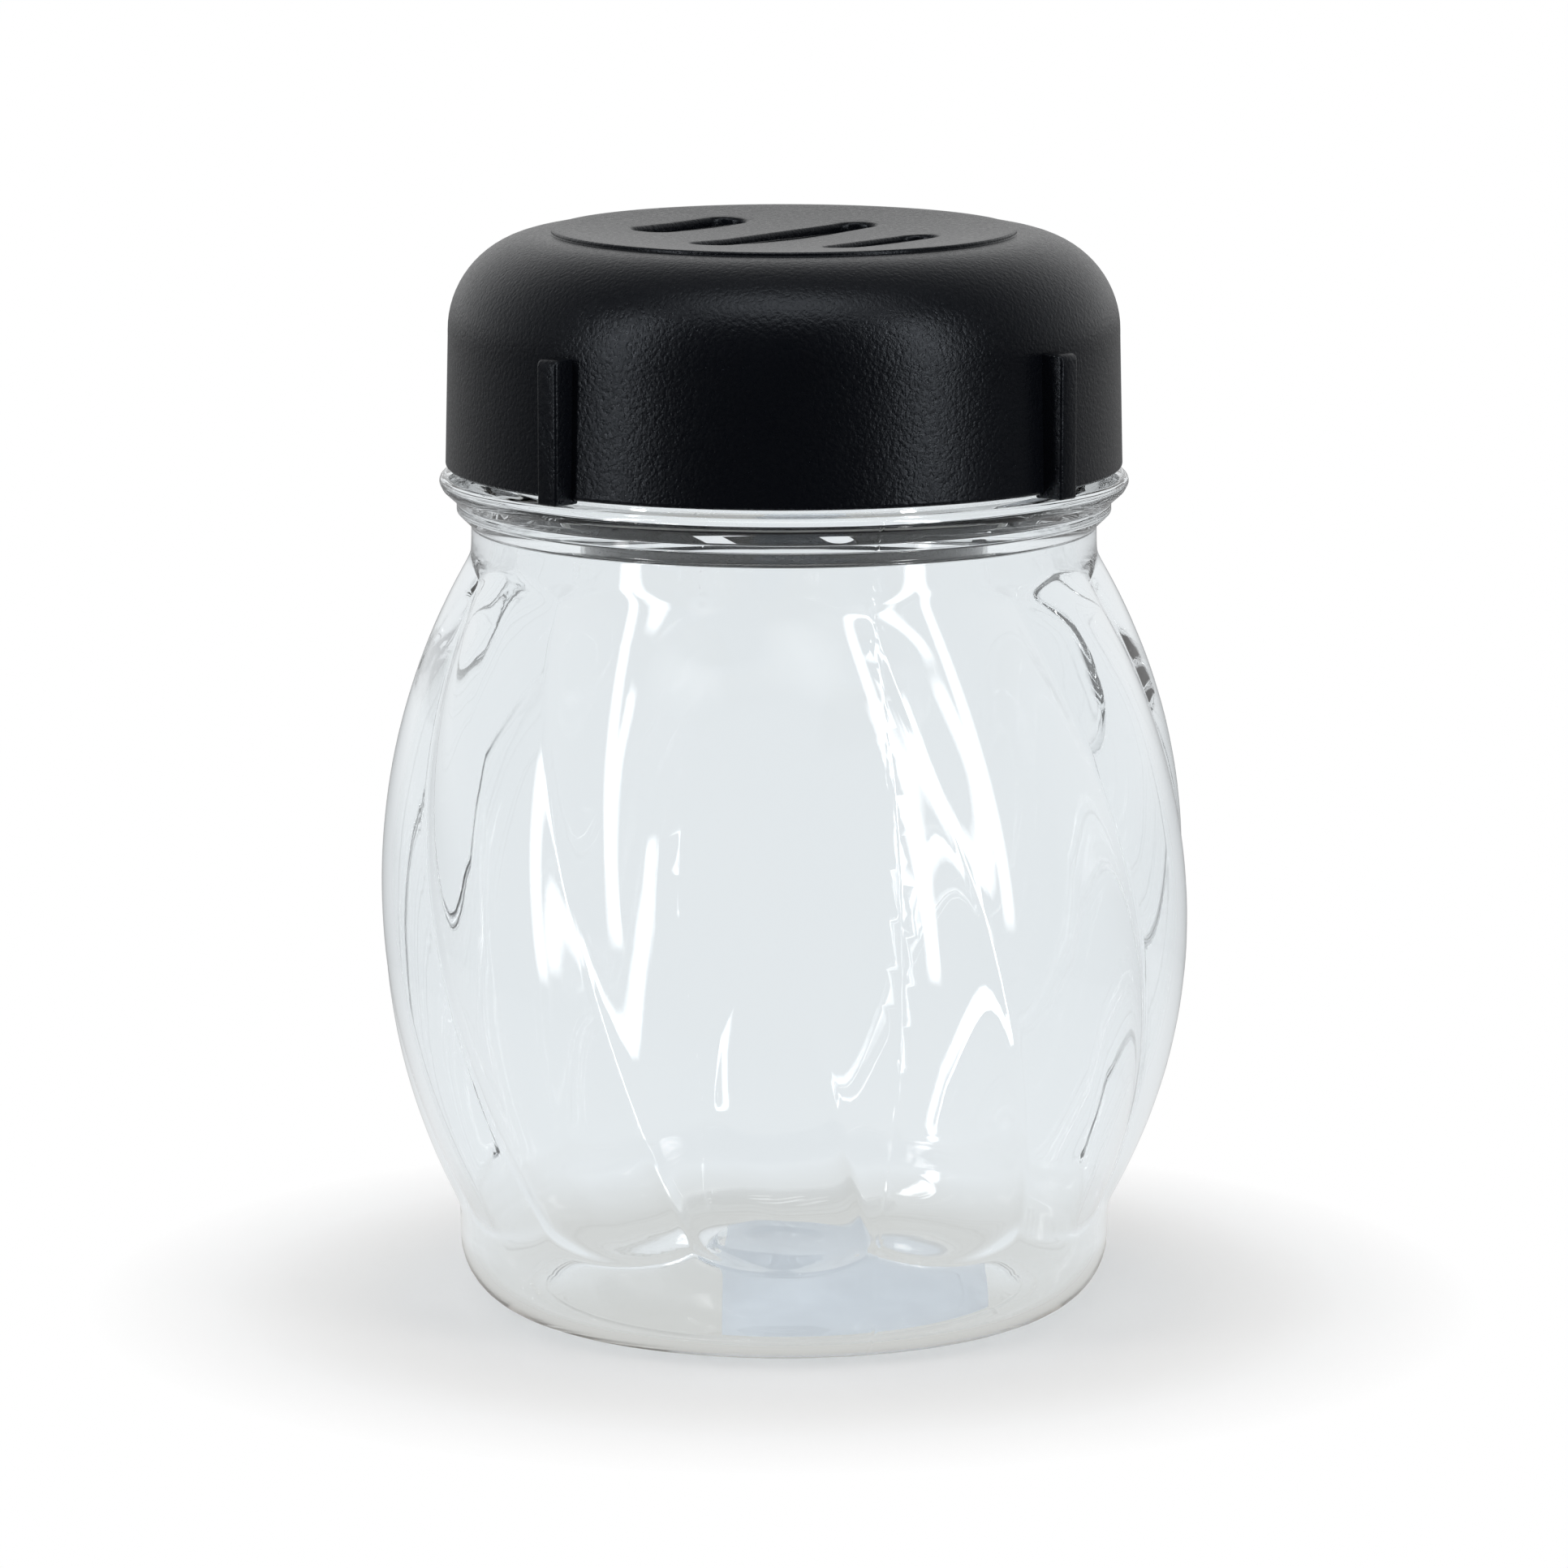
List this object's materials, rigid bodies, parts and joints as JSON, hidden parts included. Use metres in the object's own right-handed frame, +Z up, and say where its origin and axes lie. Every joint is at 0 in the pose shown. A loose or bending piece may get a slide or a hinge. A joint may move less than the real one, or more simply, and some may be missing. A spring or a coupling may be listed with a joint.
{
  "type": "parmesan shaker",
  "caption": "Clear swirl-lobed barrel jar with a black slotted screw lid, for shaking grated cheese at the table.",
  "frame": {"origin": "on the floor, in the middle of the jar's base", "axes": "+Z up along the jar's axis, -Y towards the pictured side, +X to the right in the picture"},
  "size_m": [0.078, 0.078, 0.1048],
  "materials": {
    "clear_plastic": "clear blow-moulded plastic",
    "lid_plastic": "fine-grained black moulding",
    "seal": "soft matte",
    "paper": "blank paper sticker"
  },
  "bodies": {
    "jar": {"jar": "clear_plastic", "base_label": "paper"},
    "seal_ring": {"seal_ring": "seal"},
    "lid": {"lid": "lid_plastic"}
  },
  "joints": [
    {"name": "lid_lift", "type": "slide", "parent": "jar", "child": "seal_ring", "axis": [0, 0, 1], "range_m": [0, 0.00423]},
    {"name": "lid_turn", "type": "hinge", "parent": "seal_ring", "child": "lid", "pos_m": [0, 0, 0], "axis": [0, 0, 1], "range_deg": [0, 360]}
  ],
  "couplings": [
    {"joint": "lid_lift", "follows": "lid_turn", "m_per_rad": 0.0006737}
  ]
}
